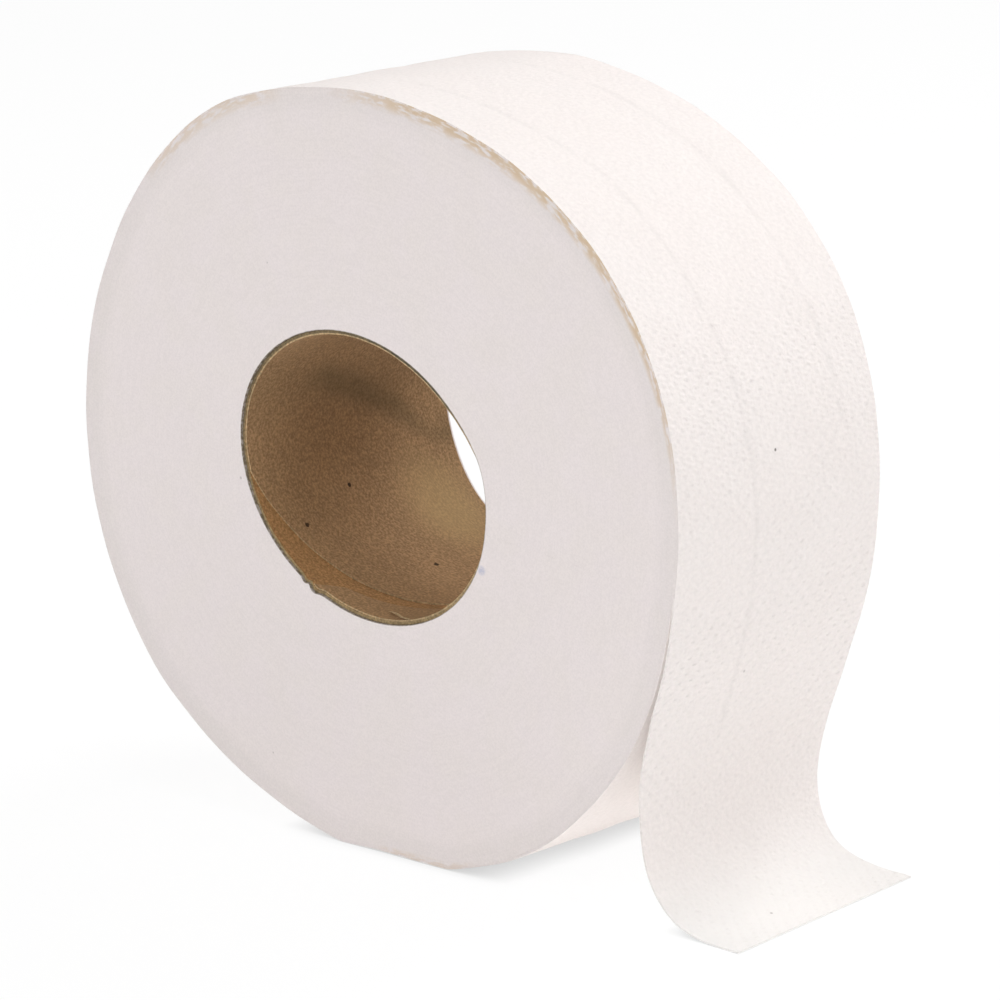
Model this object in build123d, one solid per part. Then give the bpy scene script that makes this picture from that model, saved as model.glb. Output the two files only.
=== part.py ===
from build123d import *
import os
from math import cos, sin, tan, radians

# Jumbo toilet tissue roll standing on its rim, with the outer end of the web hanging loose.
# Millimetres and degrees. X runs towards the loose end, Y along the roll's axis, Z up.
# The origin is on the floor, straight under the roll's axis, at mid-width.
# Angles around the roll are measured from +X towards +Z.

# Roll: its outline is a circle, slightly squashed and lobed by handling
web_width = 88.9
roll_radius = 114.3
oval_share = 0.0236
oval_angle = -24.8
lobe_share = 0.0053
lobe_angle = 38.4
square_share = 0.0117
square_angle = 33.3
pressed_flat = 1.8

# Core: a spiral-wound board tube, squashed oval; its angles run from the oval's long axis
core_long_radius = 48.5
core_short_radius = 40.2
core_tilt = -22.9
core_shift_x = -3.0
core_shift_z = -0.6
core_wall = 1.3
core_clearance = 0.15
core_setback = 0.8

# Helical gap between the edges of the core's inner ply, whose sharp tips at the ends are cut blunt
ply_thickness = 0.45
ply_gap_width = 8.5
ply_gap_pitch = 87.0
ply_gap_angle = -151.0
ply_tip = 1.5

# Loose end of the web: where it leaves the roll, how steeply it hangs and how far it curls out below
web_thickness = 0.5
root_angle = -8.0
front_leave_angle = -14.0
front_crotch_angle = -21.0
front_hang_angle = 12.6
front_knee_height = 36.0
front_curl_reach = 25.0
front_floor_run = 13.3
rear_leave_angle = -24.0
rear_crotch_angle = -31.0
rear_hang_angle = 16.3
rear_knee_height = 23.0
rear_curl_reach = 20.0
rear_floor_run = 19.2

# Spiral line in which the slit edges of the turns show on both ends of the roll, a fine V in section
line_turns = 3
line_width = 0.8
line_depth = 0.35
line_margin = 4.0

# Drawing steps: how closely the curves are followed, in degrees but for the last three
outline_step = 10
spiral_step = 20
core_step = 45
curl_steps = (0, 35, 65, 90)
tangent_step = 0.1
flat_search = 60
flank_angle = -45.0
halvings = 40
trace_steps = 24
crotch_lead = 10.0

half_width = web_width / 2
full_turn = 360


def radius_at(angle):
    """Radius of the squashed roll, from its axis, at an angle around it."""
    oval = oval_share * cos(2 * radians(angle - oval_angle))
    lobe = lobe_share * cos(3 * radians(angle - lobe_angle))
    square = square_share * cos(4 * radians(angle - square_angle))
    return roll_radius * (1 + oval + lobe + square)


def drop(angle):
    """How far below the roll's axis its unpressed outline lies at an angle."""
    return -radius_at(angle) * sin(radians(angle))


lowest_angle = max(range(full_turn // 2, full_turn), key=drop)
axis_height = drop(lowest_angle) - pressed_flat


def outline_point(angle, lost=0.0):
    """Point (x, z) on the squashed roll, less what its radius has lost there."""
    radius = radius_at(angle) - lost
    return (radius * cos(radians(angle)), axis_height + radius * sin(radians(angle)))


def turn_point(angle):
    """Point (x, z) on the outermost turn, which loses one web thickness on its way round from the root."""
    return outline_point(angle, web_thickness * (angle - root_angle) / full_turn)


def core_point(angle, inset=0.0):
    """Point (x, z) on the core's oval, a distance in from its outside."""
    along = (core_long_radius - inset) * cos(radians(angle))
    across = (core_short_radius - inset) * sin(radians(angle))
    tilt = radians(core_tilt)
    x = core_shift_x + along * cos(tilt) - across * sin(tilt)
    z = axis_height + core_shift_z + along * sin(tilt) + across * cos(tilt)
    return (x, z)


def spaced(first, last, step):
    """Values from first to last, ends included, as near to a step apart as fits."""
    count = max(2, round(abs(last - first) / step))
    return [first + (last - first) * i / count for i in range(count + 1)]


def placed(points, y):
    """Profile points (x, z) as vectors in the plane of constant y."""
    return [Vector(x, y, z) for x, z in points]


def direction(angle, way):
    """Unit vector along the outermost turn at an angle, way 1 towards larger angles and -1 towards smaller."""
    step = way * tangent_step
    before, after = placed([turn_point(angle - step), turn_point(angle + step)], 0)
    return (after - before).normalized()


def curve(points, start, end):
    """Smooth curve through points, with unit vectors for its direction at both ends."""
    return Edge.make_spline(points, tangents=[start, end], scale=False)


def floor_angle(way):
    """Angle at which the outermost turn lifts off the floor, way 1 or -1 from the roll's lowest place."""
    pressed = lowest_angle
    clear = lowest_angle + way * flat_search
    for _ in range(halvings):
        middle = (pressed + clear) / 2
        if turn_point(middle)[1] > 0:
            clear = middle
        else:
            pressed = middle
    return clear


def turn_edge(first, last, y):
    """Stretch of the outermost turn as one curve, tangent to the outline at both ends."""
    points = placed([turn_point(angle) for angle in spaced(first, last, outline_step)], y)
    return curve(points, direction(first, 1), direction(last, 1))


def hanging_edge(leave_angle, hang_angle, knee_height, curl_reach, y):
    """Outer line of the loose end, from its root on the roll, in to the knee and round the curl to the floor."""
    points = [turn_point(angle) for angle in spaced(root_angle, leave_angle, outline_step)]
    leave_x, leave_z = points[-1]
    knee_x = leave_x - (leave_z - web_thickness - knee_height) * tan(radians(hang_angle))
    for turned in curl_steps:
        x = knee_x + curl_reach * (1 - cos(radians(turned)))
        points.append((x, web_thickness + knee_height * (1 - sin(radians(turned)))))
    return curve(placed(points, y), direction(root_angle, -1), Vector(1, 0, 0))


def inner_edge(outer, crotch_angle, y):
    """Inner line of the loose end, one web thickness behind its outer line, from the crotch to the floor."""
    crotch = placed([turn_point(crotch_angle + full_turn)], y)[0]
    points = [crotch]
    for share in spaced(0, 1, 1 / trace_steps):
        place = outer.position_at(share)
        ahead = outer.tangent_at(share)
        if place.Z < crotch.Z - crotch_lead:
            points.append(place + Vector(ahead.Z, 0, -ahead.X) * web_thickness)
    return curve(points, (points[1] - points[0]).normalized(), Vector(1, 0, 0))


def section(leave_angle, crotch_angle, hang_angle, knee_height, curl_reach, floor_run, y):
    """Ring of curves round the roll and its loose end, in section at one edge of the web."""
    left_flat = floor_angle(-1)
    right_flat = floor_angle(1)
    around = turn_edge(root_angle, left_flat, y)
    sole = Edge.make_line(around @ 1, placed([turn_point(right_flat)], y)[0])
    under = turn_edge(right_flat, flank_angle + full_turn, y)
    flank = turn_edge(flank_angle + full_turn, crotch_angle + full_turn, y)
    outer = hanging_edge(leave_angle, hang_angle, knee_height, curl_reach, y)
    inner = inner_edge(outer, crotch_angle, y)
    floor_side = Edge.make_line(inner @ 1, (inner @ 1) + Vector(floor_run, 0, 0))
    top_side = Edge.make_line((outer @ 1) + Vector(floor_run, 0, 0), outer @ 1)
    torn_end = Edge.make_line(floor_side @ 1, top_side @ 0)
    return [around, sole, under, flank, inner, floor_side, torn_end, top_side, outer]


def line_side(side, y):
    """Curve along the spiral line of the turns, from the outside of the roll to the core, a step to its side."""
    wall = roll_radius - core_long_radius
    run = wall - 2 * line_margin
    points = []
    for turned in spaced(0, full_turn * line_turns, spiral_step):
        angle = root_angle + turned
        depth = line_margin + run * turned / (full_turn * line_turns) + side
        outside, inside = placed([outline_point(angle), core_point(angle - core_tilt)], y)
        points.append(outside + (inside - outside) * (depth / wall))
    return Edge.make_spline(points)


def oval_edge(inset, y):
    """The core's oval as a closed curve, a distance in from its outside."""
    x_dir = Vector(cos(radians(core_tilt)), 0, sin(radians(core_tilt)))
    plane = Plane(origin=(core_shift_x, y, axis_height + core_shift_z), x_dir=x_dir, z_dir=(0, -1, 0))
    return Edge.make_ellipse(core_long_radius - inset, core_short_radius - inset, plane)


def skin(near, far):
    """Face between two edges: flat where both are straight, ruled where they curve."""
    if near.geom_type == GeomType.LINE and far.geom_type == GeomType.LINE:
        return Face(Wire.make_polygon([near @ 0, near @ 1, far @ 1, far @ 0]))
    return Face.make_surface_from_curves(near, far)


def end_faces(outside, hole, end):
    """End of the roll, end -1 in front and 1 behind, with the spiral line sunk in it."""
    left, right = [line_side(side, end * half_width) for side in (-line_width / 2, line_width / 2)]
    bottom = line_side(0, end * (half_width - line_depth))
    across = [Edge.make_line(left @ place, right @ place) for place in (0, 1)]
    tips = [Face(Wire.make_polygon([left @ place, right @ place, bottom @ place])) for place in (0, 1)]
    face = Face(Wire(outside), [Wire([hole]), Wire([left, across[1], right, across[0]])])
    return [face, skin(left, bottom), skin(right, bottom)] + tips


def tissue_web():
    """Wound web with its loose end, open for the core, with the line of its turns on both ends."""
    front = section(front_leave_angle, front_crotch_angle, front_hang_angle, front_knee_height,
                    front_curl_reach, front_floor_run, -half_width)
    rear = section(rear_leave_angle, rear_crotch_angle, rear_hang_angle, rear_knee_height,
                   rear_curl_reach, rear_floor_run, half_width)
    front_hole, rear_hole = [oval_edge(-core_clearance, y) for y in (-half_width, half_width)]
    around = [skin(near, far) for near, far in zip(front + [front_hole], rear + [rear_hole])]
    return Solid(Shell(around + end_faces(front, front_hole, -1) + end_faces(rear, rear_hole, 1)))


def far_edge(angle):
    """The y of the ply gap's far edge at an angle."""
    return ply_gap_pitch * (angle - ply_gap_angle) / full_turn - half_width


def near_edge(angle):
    """The y of the ply gap's near edge at an angle."""
    return far_edge(angle) - ply_gap_width


def next_near_edge(angle):
    """The y of the near edge a turn further on, which bounds the inner ply from behind."""
    return near_edge(angle + full_turn)


def front_end(angle):
    """The y of the core's front end, the same at every angle."""
    return core_setback - half_width


def rear_end(angle):
    """The y of the core's rear end, the same at every angle."""
    return half_width - core_setback


def far_edge_angle(y):
    """Angle at which the ply gap's far edge passes y."""
    return ply_gap_angle + full_turn * (y + half_width) / ply_gap_pitch


gap_inset = core_wall - ply_thickness
gap_lag = full_turn * ply_gap_width / ply_gap_pitch
gap_start = far_edge_angle(front_end(0) + ply_tip)
gap_end = far_edge_angle(rear_end(0) - ply_tip)


def ply_bounds(angle):
    """Edges that bound the inner ply in front and behind, at an angle."""
    before = far_edge if angle > gap_start else front_end
    behind = rear_end if angle > gap_end + gap_lag - full_turn else next_near_edge
    return before, behind


def gap_bounds(angle):
    """Edges that bound the gap in the inner ply in front and behind, at an angle."""
    before = near_edge if angle > gap_start + gap_lag else front_end
    behind = rear_end if angle > gap_end else far_edge
    return before, behind


def core_place(angle, inset, y):
    """Vector to the place on the core's wall at an angle, a distance in from its outside."""
    return placed([core_point(angle, inset)], y)[0]


def core_curve(stretch, inset, y_at):
    """Smooth curve round the core's wall over a stretch of angles, at the y that y_at gives for each."""
    angles = spaced(*stretch, spiral_step)
    points = [core_place(angle, inset, y_at(angle)) for angle in angles]
    ways = []
    for angle in stretch:
        spots = (angle - tangent_step, angle + tangent_step)
        before, after = [core_place(spot, inset, y_at(spot)) for spot in spots]
        ways.append((after - before) / (2 * tangent_step))
    return Edge.make_spline(points, tangents=ways, parameters=angles, scale=False)


def stretches(first, last):
    """Pairs of neighbouring angles from first to last, parted evenly and where an edge of the gap starts or ends."""
    tips = [angle + lag for angle in (gap_start, gap_end) for lag in (0, gap_lag)]
    evenly = list(range(0, full_turn, core_step))
    stops = sorted(stop + turn * full_turn for stop in tips + evenly for turn in range(-2, 3))
    inside = [stop for stop in stops if first + tangent_step < stop < last - tangent_step]
    return list(zip([first] + inside, inside + [last]))


def wall_faces(first, last, inset, bounds):
    """Faces of the core's wall from one angle to another, between the edges that bound them there."""
    faces = []
    for stretch in stretches(first, last):
        before, behind = bounds(sum(stretch) / 2)
        faces.append(skin(core_curve(stretch, inset, before), core_curve(stretch, inset, behind)))
    return faces


def step_faces(start, end, y_at):
    """Faces of the step along one edge of the gap, with the blunt tips at its two ends."""
    faces = []
    for stretch in stretches(start, end):
        faces.append(skin(core_curve(stretch, core_wall, y_at), core_curve(stretch, gap_inset, y_at)))
    for angle, end_y, tip in ((start, front_end(0), ply_tip), (end, rear_end(0), -ply_tip)):
        corners = [(core_wall, end_y), (core_wall, end_y + tip), (gap_inset, end_y + tip), (gap_inset, end_y)]
        faces.append(Face(Wire.make_polygon([core_place(angle, inset, y) for inset, y in corners])))
    return faces


def core_end(start, y_at):
    """Flat end of the core, its hole stepped out to the gap's floor from the angle where the gap starts there."""
    ply = [core_curve(stretch, core_wall, y_at) for stretch in stretches(start + gap_lag - full_turn, start)]
    gap = [core_curve(stretch, gap_inset, y_at) for stretch in stretches(start, start + gap_lag)]
    steps = []
    for angle in (start, start + gap_lag):
        inner, outer = [core_place(angle, inset, y_at(angle)) for inset in (core_wall, gap_inset)]
        steps.append(Edge.make_line(inner, outer))
    return Face(Wire([oval_edge(0, y_at(start))]), [Wire(ply + gap + steps)])


def cardboard_core():
    """Spiral-wound board tube inside the web, with a helical gap between the edges of its inner ply."""
    faces = [skin(oval_edge(0, front_end(0)), oval_edge(0, rear_end(0)))]
    faces += [core_end(gap_start, front_end), core_end(gap_end, rear_end)]
    faces += wall_faces(gap_start + gap_lag - full_turn, gap_end, core_wall, ply_bounds)
    faces += wall_faces(gap_start, gap_end + gap_lag, gap_inset, gap_bounds)
    faces += step_faces(gap_start, gap_end, far_edge)
    faces += step_faces(gap_start + gap_lag, gap_end + gap_lag, near_edge)
    return Solid(Shell(faces))


os.makedirs("parts", exist_ok=True)
for name, piece in (("tissue_web", tissue_web()), ("cardboard_core", cardboard_core())):
    piece.label = name
    export_step(piece, f"parts/{name}.step")
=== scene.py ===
import math
from functools import partial
import bpy
import bmesh
import numpy as np
from mathutils import Matrix, Vector


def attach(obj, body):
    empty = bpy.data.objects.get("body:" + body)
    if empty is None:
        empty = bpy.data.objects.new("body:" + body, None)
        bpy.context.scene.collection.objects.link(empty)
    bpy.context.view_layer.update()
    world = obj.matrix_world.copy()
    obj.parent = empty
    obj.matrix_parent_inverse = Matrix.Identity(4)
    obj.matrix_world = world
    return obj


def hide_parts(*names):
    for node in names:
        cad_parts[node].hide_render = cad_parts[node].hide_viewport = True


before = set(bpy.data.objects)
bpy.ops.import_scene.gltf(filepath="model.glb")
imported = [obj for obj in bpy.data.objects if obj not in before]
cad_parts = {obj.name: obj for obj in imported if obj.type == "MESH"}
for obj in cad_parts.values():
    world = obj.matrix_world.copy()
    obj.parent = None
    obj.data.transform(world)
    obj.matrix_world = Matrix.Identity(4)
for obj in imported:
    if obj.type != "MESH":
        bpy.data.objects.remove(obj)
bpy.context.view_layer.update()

bl_info = {"name": "Jumbo tissue roll", "version": (1, 0, 0), "blender": (4, 5, 0),
           "location": "3D View > Sidebar > Tissue Roll", "category": "Add Mesh",
           "description": "Builds a jumbo toilet tissue roll on a spiral-wound board core, with its loose "
                          "end on the floor"}

# Everything below is in millimetres and degrees unless its name says metres.
MM = 0.001
FULL_TURN = 360.0
HALF_WIDTH = 44.45

# Outline of the roll, in polar form about its axis: 0 is +X, 90 is up.
ROLL_RADIUS = 114.3
OVAL_SHARE, OVAL_ANGLE = 0.0236, -24.8
LOBE_SHARE, LOBE_ANGLE = 0.0053, 38.4
SQUARE_SHARE, SQUARE_ANGLE = 0.0117, 33.3
PRESSED_FLAT = 1.8
# Small dents and swellings of the outline: angle, half width in degrees, and height. The last is where the
# web is slack before the loose end leaves it.
DENTS = ((104.0, 9.0, -0.8), (121.0, 9.0, 0.5), (150.0, 14.0, -0.7), (178.0, 12.0, -0.3), (205.0, 14.0, -0.6),
         (235.0, 12.0, -0.3), (-28.0, 10.0, 0.8))
SHEET = 0.5
ROOT_ANGLE = -8.0
# The lowest that the sheet comes to the floor, and the gap that keeps it off the turns under it.
FLOOR_GAP = 0.02
TURN_GAP = 0.04
# Points closer than this are one, in metres, and edges sharper than this are drawn sharp.
MERGE_METRES = 0.000002
SHARP_ANGLE = 40.0

# Oval board core.
CORE_LONG, CORE_SHORT, CORE_TILT = 48.5, 40.2, -22.9
CORE_X, CORE_DROP = -3.0, -0.6
CORE_WALL, PLY = 1.3, 0.45
GAP_WIDTH, GAP_PITCH, GAP_ANGLE = 7.1, 94.3, -149.3
TORN_ANGLE, TORN_SLOPE = -88.0, 0.85

# Lattice of the emboss, in cycles per mm down the web and across it.
EMBOSS_A = (0.182, 0.200)
EMBOSS_B = (0.213, -0.192)
CUP_RADIUS = 1.0
PIT_RADIUS = 0.9
# The sheet's UV is in units of 100 mm.
UV_SCALE = 0.01

# Dark flecks in the web: run down it from the top of the roll, place along the roll, and darkness.
WEB_FLECKS = ((159.1, -1.5, 0.9), (303.7, -14.8, 0.5), (223.4, -6.7, 0.3))
# Creases in the web, as places of the same kind.
CREASES = (
    ((0.0, 22.6), (9.0, 22.9), (59.0, 24.9), (109.0, 25.4), (137.0, 27.6), (153.0, 28.8), (166.0, 32.7)),
    ((0.0, -24.3), (23.0, -23.0), (47.0, -20.9), (70.0, -17.3), (94.0, -17.6), (112.0, -16.8), (137.0, -14.1),
     (153.0, -13.4), (169.0, -11.0), (195.0, -10.2), (227.0, -11.0), (250.0, -11.8)),
)
# A bluish smudge on the front end, beside the core: x, y, z.
SMUDGE = (43.3, -HALF_WIDTH, 90.8)

# Dark flecks in the board: angle in the core's oval, and place along the roll.
FLECK_PLACES = ((-130.7, -6.3), (-119.6, -30.1), (-87.7, 2.4))

# Half the floor's side, in metres.
FLOOR_REACH = 6.0
# Soft lights: name, power in watts, place and size in metres.
LAMPS = (
    ("right_high", 10.9, (1.9, -0.5, 1.7), 1.4),
    ("top", 10.7, (0.2, -0.1, 2.2), 1.4),
    ("front_left", 8.5, (-1.2, -1.9, 0.9), 1.2),
    ("rear_high", 23.8, (0.3, 1.6, 1.8), 1.2),
    ("rear_right_high", 7.0, (1.3, 1.3, 1.6), 1.2),
    ("front_high", 8.4, (0.6, -1.6, 1.8), 1.2),
)


def bump_at(value, middle, width):
    """1 at the middle angle, falling to 0 about two widths away on either side."""
    off = (value - middle + 180.0) % FULL_TURN - 180.0
    return np.exp(-(off / width) ** 2)


def outline_radius(angle):
    a = np.radians(angle)
    oval = OVAL_SHARE * np.cos(2 * (a - math.radians(OVAL_ANGLE)))
    lobe = LOBE_SHARE * np.cos(3 * (a - math.radians(LOBE_ANGLE)))
    square = SQUARE_SHARE * np.cos(4 * (a - math.radians(SQUARE_ANGLE)))
    dents = sum(height * bump_at(angle, middle, width) for middle, width, height in DENTS)
    return ROLL_RADIUS * (1 + oval + lobe + square) + dents


def axis_height():
    a = np.arange(0.0, FULL_TURN, 0.1)
    return float(np.max(-outline_radius(a) * np.sin(np.radians(a)))) - PRESSED_FLAT


AXIS_HEIGHT = axis_height()


def outline_point(angle, inset):
    """Point (x, z) of the outline, inset mm under its skin, pressed flat where it meets the floor."""
    a = np.radians(angle)
    r = outline_radius(angle) - inset
    return r * np.cos(a), np.maximum(AXIS_HEIGHT + r * np.sin(a), inset)


def turn_inset(angle):
    """How far the outermost turn's skin has wound inwards at an angle."""
    return SHEET * (angle - ROOT_ANGLE) / FULL_TURN


def core_point(angle, inset):
    a, t = np.radians(angle), math.radians(CORE_TILT)
    # The oval is fuller where its long axis points up to the right.
    inset = inset - 1.3 * bump_at(angle + CORE_TILT, 17.0, 17.0)
    along = (CORE_LONG - inset) * np.cos(a)
    across = (CORE_SHORT - inset) * np.sin(a)
    x = CORE_X + along * math.cos(t) - across * math.sin(t)
    z = AXIS_HEIGHT + CORE_DROP + along * math.sin(t) + across * math.cos(t)
    return x, z


# Torn fibre on the inner face: angle in the core's oval, place along the roll, and lift.
TORN_FIBRE = ((-66.0, -37.0, 0.0), (-62.5, -38.2, 0.5), (-60.0, -39.6, 0.9), (-57.0, -40.4, 0.7),
              (-54.0, -41.6, 0.4), (-51.0, -42.6, 0.35), (-48.0, -43.2, 0.1))
TORN_WIDTHS = (0.3, 0.7, 1.0, 0.8, 0.9, 0.6, 0.3)

FLECKS = [(core_point(angle, CORE_WALL)[0] * MM, y * MM, core_point(angle, CORE_WALL)[1] * MM)
          for angle, y in FLECK_PLACES]


def hole_gap(polar):
    """How far the first turn stands off the core, by the direction seen from the roll's axis."""
    return 0.10 + 0.35 * bump_at(polar, 48.0, 24.0) + crumple(polar)


def crumple(polar):
    """Where the end of the board is crushed outwards."""
    outwards = 1.2 * bump_at(polar, -116.5, 2.8) + 0.7 * bump_at(polar, -121.5, 1.5)
    return outwards - 0.5 * bump_at(polar, -119.4, 0.9)


def core_ends(angle):
    """Front and rear ends of the board, which stand back unevenly from the roll's ends."""
    polar = angle + CORE_TILT
    front = -HALF_WIDTH + 0.8 + 1.0 * bump_at(polar, -4.0, 33.0) + 0.06 * np.sin(np.radians(angle * 7)) \
        + 0.05 * np.sin(np.radians(angle * 19 + 40)) + 0.03 * np.sin(np.radians(angle * 43))
    rear = HALF_WIDTH - 1.9 + 0.1 * np.sin(np.radians(angle * 5 + 80))
    return front, rear


def rear_bulge(polar, y):
    """The core is fuller towards its rear end, on the lower left."""
    return 1.5 * bump_at(polar, 223.0, 22.0) * (y + HALF_WIDTH) / (2 * HALF_WIDTH)


def core_skin(angle, y, inset):
    """Points of the core at an inset, with its crushed place at the front end."""
    crushed = crumple(angle + CORE_TILT) * np.exp(-np.maximum(y + HALF_WIDTH - 0.8, 0) / 2.2)
    x, z = core_point(angle, inset - crushed - rear_bulge(angle + CORE_TILT, y))
    return np.stack([x, y, z], -1)


def ease(value, start, end):
    t = np.clip((value - start) / (end - start), 0.0, 1.0)
    return t * t * (3 - 2 * t)


def waves(x, y, size, seed, count=7):
    """Smooth unevenness between about -1 and 1, from plane waves about size mm long."""
    rng = np.random.default_rng(seed)
    total = np.zeros(np.broadcast(x, y).shape)
    for _ in range(count):
        way = rng.uniform(0, 2 * math.pi)
        rate = 2 * math.pi / (size * rng.uniform(0.7, 1.5))
        total = total + np.sin(rate * (x * math.cos(way) + y * math.sin(way)) + rng.uniform(0, 6.283))
    return total / math.sqrt(count)


def smooth_curve(points, samples):
    """Natural cubic spline through a few hand-set points, at even steps of arc length."""
    p = np.array(points, float)
    t = np.concatenate([[0], np.cumsum(np.hypot(*np.diff(p, axis=0).T))])
    h = np.diff(t)
    n = len(p)
    a = np.zeros((n, n))
    b = np.zeros((n, p.shape[1]))
    a[0, 0] = a[-1, -1] = 1
    for i in range(1, n - 1):
        a[i, i - 1], a[i, i], a[i, i + 1] = h[i - 1], 2 * (h[i - 1] + h[i]), h[i]
        b[i] = 6 * ((p[i + 1] - p[i]) / h[i] - (p[i] - p[i - 1]) / h[i - 1])
    m = np.linalg.solve(a, b)
    u = np.linspace(0, t[-1], 4000)
    k = np.clip(np.searchsorted(t, u) - 1, 0, n - 2)
    left, right, step = (t[k + 1] - u)[:, None], (u - t[k])[:, None], h[k][:, None]
    fine = (m[k] * left ** 3 + m[k + 1] * right ** 3) / (6 * step)
    fine = fine + (p[k] / step - m[k] * step / 6) * left + (p[k + 1] / step - m[k + 1] * step / 6) * right
    run = np.concatenate([[0], np.cumsum(np.hypot(*np.diff(fine, axis=0).T))])
    at = np.linspace(0, run[-1], samples)
    return np.stack([np.interp(at, run, fine[:, i]) for i in range(fine.shape[1])], 1)


def grid_faces(rows, columns, start=0, closed=False):
    """Quads of a grid whose vertices are stored row by row."""
    i = np.arange(rows if closed else rows - 1)
    j = np.arange(columns - 1)
    i, j = np.meshgrid(i, j, indexing="ij")
    k = (i + 1) % rows
    quads = np.stack([i * columns + j, i * columns + j + 1, k * columns + j + 1, k * columns + j], -1)
    return (quads.reshape(-1, 4) + start).tolist()


def make_piece(name, points, faces, uv, materials, node, face_material=None, marks=None):
    """Closed mesh in metres from points in millimetres, riding on the body and standing for a CAD node."""
    mesh = bpy.data.meshes.new(name)
    mesh.from_pydata((np.asarray(points) * MM).tolist(), [], faces)
    layer = mesh.uv_layers.new(name="sheet_mm")
    loops = np.zeros(len(mesh.loops), dtype=np.int32)
    mesh.loops.foreach_get("vertex_index", loops)
    layer.data.foreach_set("uv", (np.asarray(uv)[loops] * UV_SCALE).astype(np.float32).ravel())
    for key, values in (marks or {}).items():
        mesh.attributes.new(key, "FLOAT", "POINT").data.foreach_set("value", np.asarray(values, np.float32))
    for material in materials:
        mesh.materials.append(material)
    if face_material is not None:
        mesh.polygons.foreach_set("material_index", face_material)
    work = bmesh.new()
    work.from_mesh(mesh)
    bmesh.ops.remove_doubles(work, verts=work.verts, dist=MERGE_METRES)
    bmesh.ops.recalc_face_normals(work, faces=work.faces)
    work.to_mesh(mesh)
    work.free()
    mesh.polygons.foreach_set("use_smooth", np.ones(len(mesh.polygons), dtype=bool))
    mesh.set_sharp_from_angle(angle=math.radians(SHARP_ANGLE))
    piece = bpy.data.objects.new(name, mesh)
    bpy.context.scene.collection.objects.link(piece)
    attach(piece, "root")
    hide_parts(node)


def linear(hexcode):
    """Linear colour of an sRGB hex value."""
    values = [int(hexcode[i:i + 2], 16) / 255 for i in (1, 3, 5)]
    return tuple(v / 12.92 if v <= 0.04045 else ((v + 0.055) / 1.055) ** 2.4 for v in values)


# Settings of nodes: a ramp that is smooth at both of its ends, and a product.
SMOOTH = {"interpolation_type": "SMOOTHSTEP"}
TIMES = {"operation": "MULTIPLY"}


def new_node(owner, kind, links=(), **settings):
    """Adds a node with its settings, and its inputs in order or by name: nodes, sockets or values."""
    node = owner.node_tree.nodes.new("ShaderNode" + kind)
    for key, value in settings.items():
        setattr(node, key, value)
    for key, value in links.items() if isinstance(links, dict) else enumerate(links):
        if isinstance(value, bpy.types.Node):
            value = value.outputs[0]
        if isinstance(value, bpy.types.NodeSocket):
            owner.node_tree.links.new(value, node.inputs[key])
        else:
            node.inputs[key].default_value = value
    return node


def plug(owner, node, socket):
    """Links a node's first output to a socket."""
    owner.node_tree.links.new(node.outputs[0], socket)


def new_material(name, roughness, specular):
    """New material, its main shader, and new_node made ready to add to it."""
    material = bpy.data.materials.new(name)
    material.use_nodes = True
    shader = material.node_tree.nodes["Principled BSDF"]
    shader.inputs["Roughness"].default_value = roughness
    shader.inputs["Specular IOR Level"].default_value = specular
    return material, shader, partial(new_node, material)


def shade(colour, *shares):
    """A colour made darker or paler by one share or by one for each channel, with a colour socket's alpha."""
    return (*[min(c * share, 1.0) for c, share in zip(colour, shares * 3)], 1)


def lattice_pits(add, web):
    """Depth of each embossed pit and height of the ring round it, from 0 to 1, by place on the web."""
    cell = np.array([EMBOSS_A, EMBOSS_B])
    back = np.linalg.inv(cell)
    rows, columns = [add("VectorMath", (web, (*row / UV_SCALE, 0)), operation="DOT_PRODUCT").outputs["Value"]
                     for row in cell]
    phase = add("CombineXYZ", (rows, columns))
    phase = add("VectorMath", (phase, (0.5, 0.5, 0)), operation="ADD")
    phase = add("VectorMath", (phase,), operation="FRACTION")
    phase = add("VectorMath", (phase, (0.5, 0.5, 0)), operation="SUBTRACT")
    off = [add("VectorMath", (phase, (*row, 0)), operation="DOT_PRODUCT").outputs["Value"] for row in back]
    # The pits are a little longer across the web than down it.
    off = add("CombineXYZ", [add("Math", (value, share), **TIMES) for value, share in zip(off, (1.3, 0.8))])
    reach = add("VectorMath", (off,), operation="LENGTH").outputs["Value"]
    # A raised ring stands round each pit, and rows of pits run together into fine ridges.
    rise = add("Math", (add("MapRange", (reach, 0.8, 1.3), **SMOOTH),
                        add("MapRange", (reach, 2.0, 1.3), **SMOOTH)), **TIMES)
    wave = 0.0
    for first, second, share in ((1, 0, 0.45), (2, 1, 0.3), (1, 2, 0.25)):
        down = add("Math", (rows, first * 2 * math.pi), **TIMES)
        over = add("Math", (columns, second * 2 * math.pi), **TIMES)
        ripple = add("Math", (add("Math", (down, over), operation="ADD"),), operation="SINE")
        ripple = add("Math", (ripple, share), **TIMES)
        wave = add("Math", (wave, ripple), operation="ADD")
    return add("MapRange", (reach, PIT_RADIUS, 0.0), **SMOOTH), rise, wave


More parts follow.
